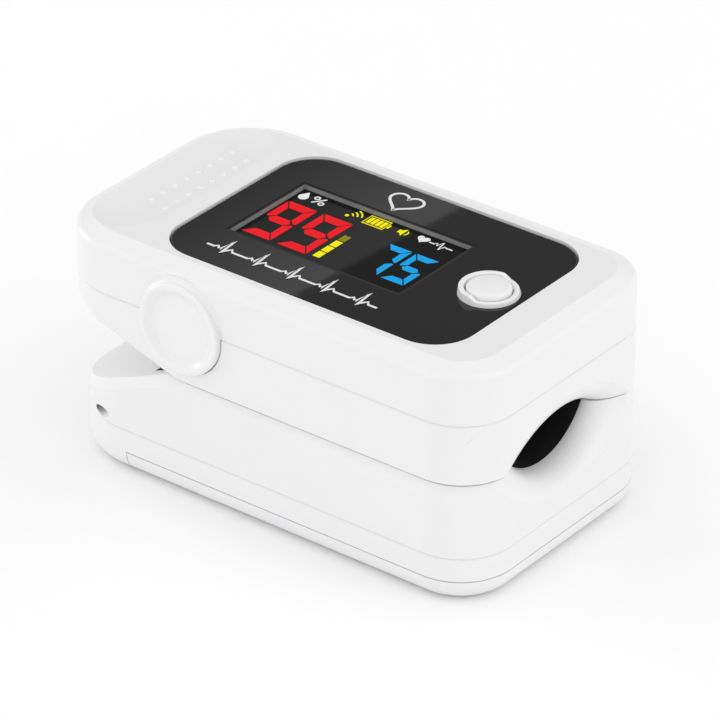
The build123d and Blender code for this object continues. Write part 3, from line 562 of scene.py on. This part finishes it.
# All places on the display and the window are in the shared frame's x and y.
BIG = {"bottom": -4.95, "width": 4.4, "height": 9.15, "stroke": 1.06, "rise": 1.42}
SMALL = {"bottom": -3.9, "width": 3.4, "height": 7.06, "stroke": 0.86, "rise": 1.1}
printed("red_digits", digit(9, -12.62, **BIG) + digit(9, -7.24, **BIG), panel_z, lit_red)
printed("blue_digits", digit(7, 3.44, **SMALL) + digit(5, 7.44, **SMALL), panel_z, lit_blue)
BAR = {"left": -2.02, "width": 0.98, "height": 1.38}
printed("pulse_level_bars", [rectangle(bottom=y, **BAR) for y in (-4.66, -3.06, -1.46)],
        panel_z, lit_yellow)
printed("pulse_level_top_bar", [rectangle(bottom=0.14, **BAR)], panel_z, dim_yellow)

ROW = 6.35              # middle of the row of small marks above the digits
ROUND = (0, 345)        # degrees of a small circle's points: the last edge closes it
radio_foot = (-4.9, ROW - 0.75)
radio = [strip(arc(radio_foot, r, 20, 70), 0.2) for r in (0.75, 1.3, 1.85)]
radio.append(plate(arc(radio_foot, 0.26, *ROUND, 16)))
cell_outline = [(-2.45, ROW - 1.0), (0.55, ROW - 1.0), (0.55, ROW + 1.0), (-2.45, ROW + 1.0)]
cell_frame = strip(cell_outline, 0.18, closed=True)
cell_bars = [rectangle(-2.15 + 0.66 * i, ROW - 0.7, 0.5, 1.4) for i in range(4)]
cell_tip = rectangle(0.72, ROW - 0.42, 0.26, 0.84)
speaker = [plate([(2.3, ROW - 0.35), (2.65, ROW - 0.35), (3.15, ROW - 0.85), (3.15, ROW + 0.85),
                  (2.65, ROW + 0.35), (2.3, ROW + 0.35)]),
           strip(arc((2.9, ROW), 0.72, -42, 42, 12), 0.16)]
printed("status_marks", radio + [cell_frame, cell_tip] + cell_bars + speaker, panel_z, lit_yellow)

percent = [strip([(-10.3, ROW - 0.8), (-9.1, ROW + 0.8)], 0.22)]
percent += [strip(arc((x, ROW + y), 0.32, *ROUND, 20), 0.2, closed=True)
            for x, y in ((-10.3, 0.45), (-9.1, -0.45))]
beat = [(6.9, ROW), (7.6, ROW), (7.85, ROW + 0.35), (8.1, ROW - 0.2), (8.45, ROW + 0.85), (8.8, ROW - 0.85),
        (9.1, ROW + 0.15), (9.35, ROW), (10.3, ROW)]
printed("white_marks",
        [plate(drop((-11.9, ROW), 1.9)), *percent, plate(heart((5.9, ROW), 1.7)), strip(beat, 0.2)],
        panel_z, lit_white)


def pulse_trace(left, right, middle, tall, beats):
    """Line of a heartbeat trace: level runs with the same spike, small waves to both sides, at even steps."""
    spike = np.array([(-0.24, 0), (-0.17, 0.16), (-0.1, 0), (-0.05, -0.14), (0.02, 1.0), (0.09, -0.42),
                      (0.14, 0.0), (0.22, 0.22), (0.3, 0.0)])
    pitch = (right - left) / beats
    runs = [spike * (pitch, tall) + (left + pitch * (beat + 0.45), middle) for beat in range(beats)]
    return np.concatenate([[(left, middle)], *runs, [(right, middle)]])


printed("printed_trace", [strip(pulse_trace(-12.9, 12.4, -10.9, 2.5, 5), 0.34)],
        print_z, white_ink)
printed("printed_heart", [strip(heart((-0.7, 11.1), 4.6), 0.36, closed=True)],
        print_z, white_ink)

# ---------------------------------------------------------------- floor and light

REACH = 3000.0          # from the middle of the floor to its sides
FLOOR_GAP = 0.03        # the floor lies this much lower than the object, so that no two faces coincide
floor_mesh = bpy.data.meshes.new("floor")
corners = (np.array([(-1, -1, 0), (1, -1, 0), (1, 1, 0), (-1, 1, 0)]) * REACH - (0, 0, FLOOR_GAP)) * MM
floor_mesh.from_pydata(corners.tolist(), [], [(0, 1, 2, 3)])
floor_mesh.materials.append(paper)
floor = add_object("floor", floor_mesh)


def softbox(name, place, size, power):
    """Square area light at a place, aimed at the object's centre: its side in millimetres, power in watts."""
    data = bpy.data.lights.new(name, "AREA")
    data.size = size * MM
    data.energy = power
    light = add_object(name, data)
    light.location = Vector(place) * MM
    light.rotation_euler = look(np.array(place), centre)


softbox("front_softbox", (460, 120, 210), 240, 0.2)
softbox("side_softbox", (-160, -480, 120), 200, 0.05)
softbox("notch_softbox", (-480, -120, 60), 240, 0.34)

# The room: an even white tent, with a dim panel where the flat top mirrors it, so that the black window
# stays black, and on the panel a lighter sheet with one straight edge, which shows as the band of light.
TENT = 1.04             # brightness of the tent, of the panel and of what the sheet adds to the panel
TENT_RISE = (0.94, 1.05)    # share of the tent's light that comes from level with the object, and from above
PANEL = 0.28
SHEET = 0.42
PANEL_RADIUS = (30, 16)     # degrees from the panel's middle where it starts, and where it is full
SHEET_EDGE = 0.0006     # sine of the angle over which the sheet's light rises at its edge
SHEET_FADE = 0.024      # and over which it then fades away
BAND_FAR = (5.6, 14.75)     # where the band's sharp edge crosses the window, in x and y
BAND_NEAR = (3.2, -14.6)
BAND_SIDE = (-10.0, 0.0)    # a place on the window on the band's side of that edge
mirrored_eye = eye * (1, 1, -1) + (0, 0, 2 * window_high[2])


def mirrored_way(x, y):
    """The way in which the eye, mirrored in the window's top, sees a place on the window."""
    return np.array([x, y, window_high[2]]) - mirrored_eye


edge_normal = np.cross(mirrored_way(*BAND_NEAR), mirrored_way(*BAND_FAR))
edge_normal /= np.linalg.norm(edge_normal)
edge_normal *= np.sign(edge_normal @ mirrored_way(*BAND_SIDE))
panel_way = mirrored_way(0.0, 0.0) / np.linalg.norm(mirrored_way(0.0, 0.0))

world = bpy.data.worlds.new("studio")
bpy.context.scene.world = world
world.use_nodes = True
sky = world.node_tree
way = add_node(sky, "ShaderNodeTexCoord").outputs["Generated"]


def along(direction):
    """How far the looked-at direction points along another one: their dot product."""
    return add_node(sky, "ShaderNodeVectorMath", {0: way, 1: [float(v) for v in direction]},
                    operation="DOT_PRODUCT").outputs["Value"]


def blended(factor, low, high):
    """Grey level that goes from low to high, numbers or sockets, as the factor goes from 0 to 1."""
    return add_node(sky, "ShaderNodeMix", {0: factor, 2: low, 3: high}, data_type="FLOAT").outputs[0]


tent = ranged(sky, along((0, 0, 1)), TENT * TENT_RISE[0], TENT * TENT_RISE[1])
sheet_edge = ranged(sky, along(edge_normal), 0.0, 1.0, 0.0, SHEET_EDGE)
sheet_fade = ranged(sky, along(edge_normal), SHEET, 0.0, 0.0, SHEET_FADE)
sheet = add_node(sky, "ShaderNodeMath", {0: sheet_edge, 1: sheet_fade}, operation="MULTIPLY").outputs[0]
panel = add_node(sky, "ShaderNodeMath", {0: sheet, 1: PANEL}, operation="ADD").outputs[0]
near_panel = ranged(sky, along(panel_way), 0.0, 1.0,
                    *(math.cos(math.radians(angle)) for angle in PANEL_RADIUS))
light = blended(near_panel, tent, panel)
seen = add_node(sky, "ShaderNodeLightPath").outputs["Is Camera Ray"]
sky.links.new(blended(seen, light, 1.0), sky.nodes["Background"].inputs["Strength"])
sky.nodes["Background"].inputs["Color"].default_value = (1, 1, 1, 1)
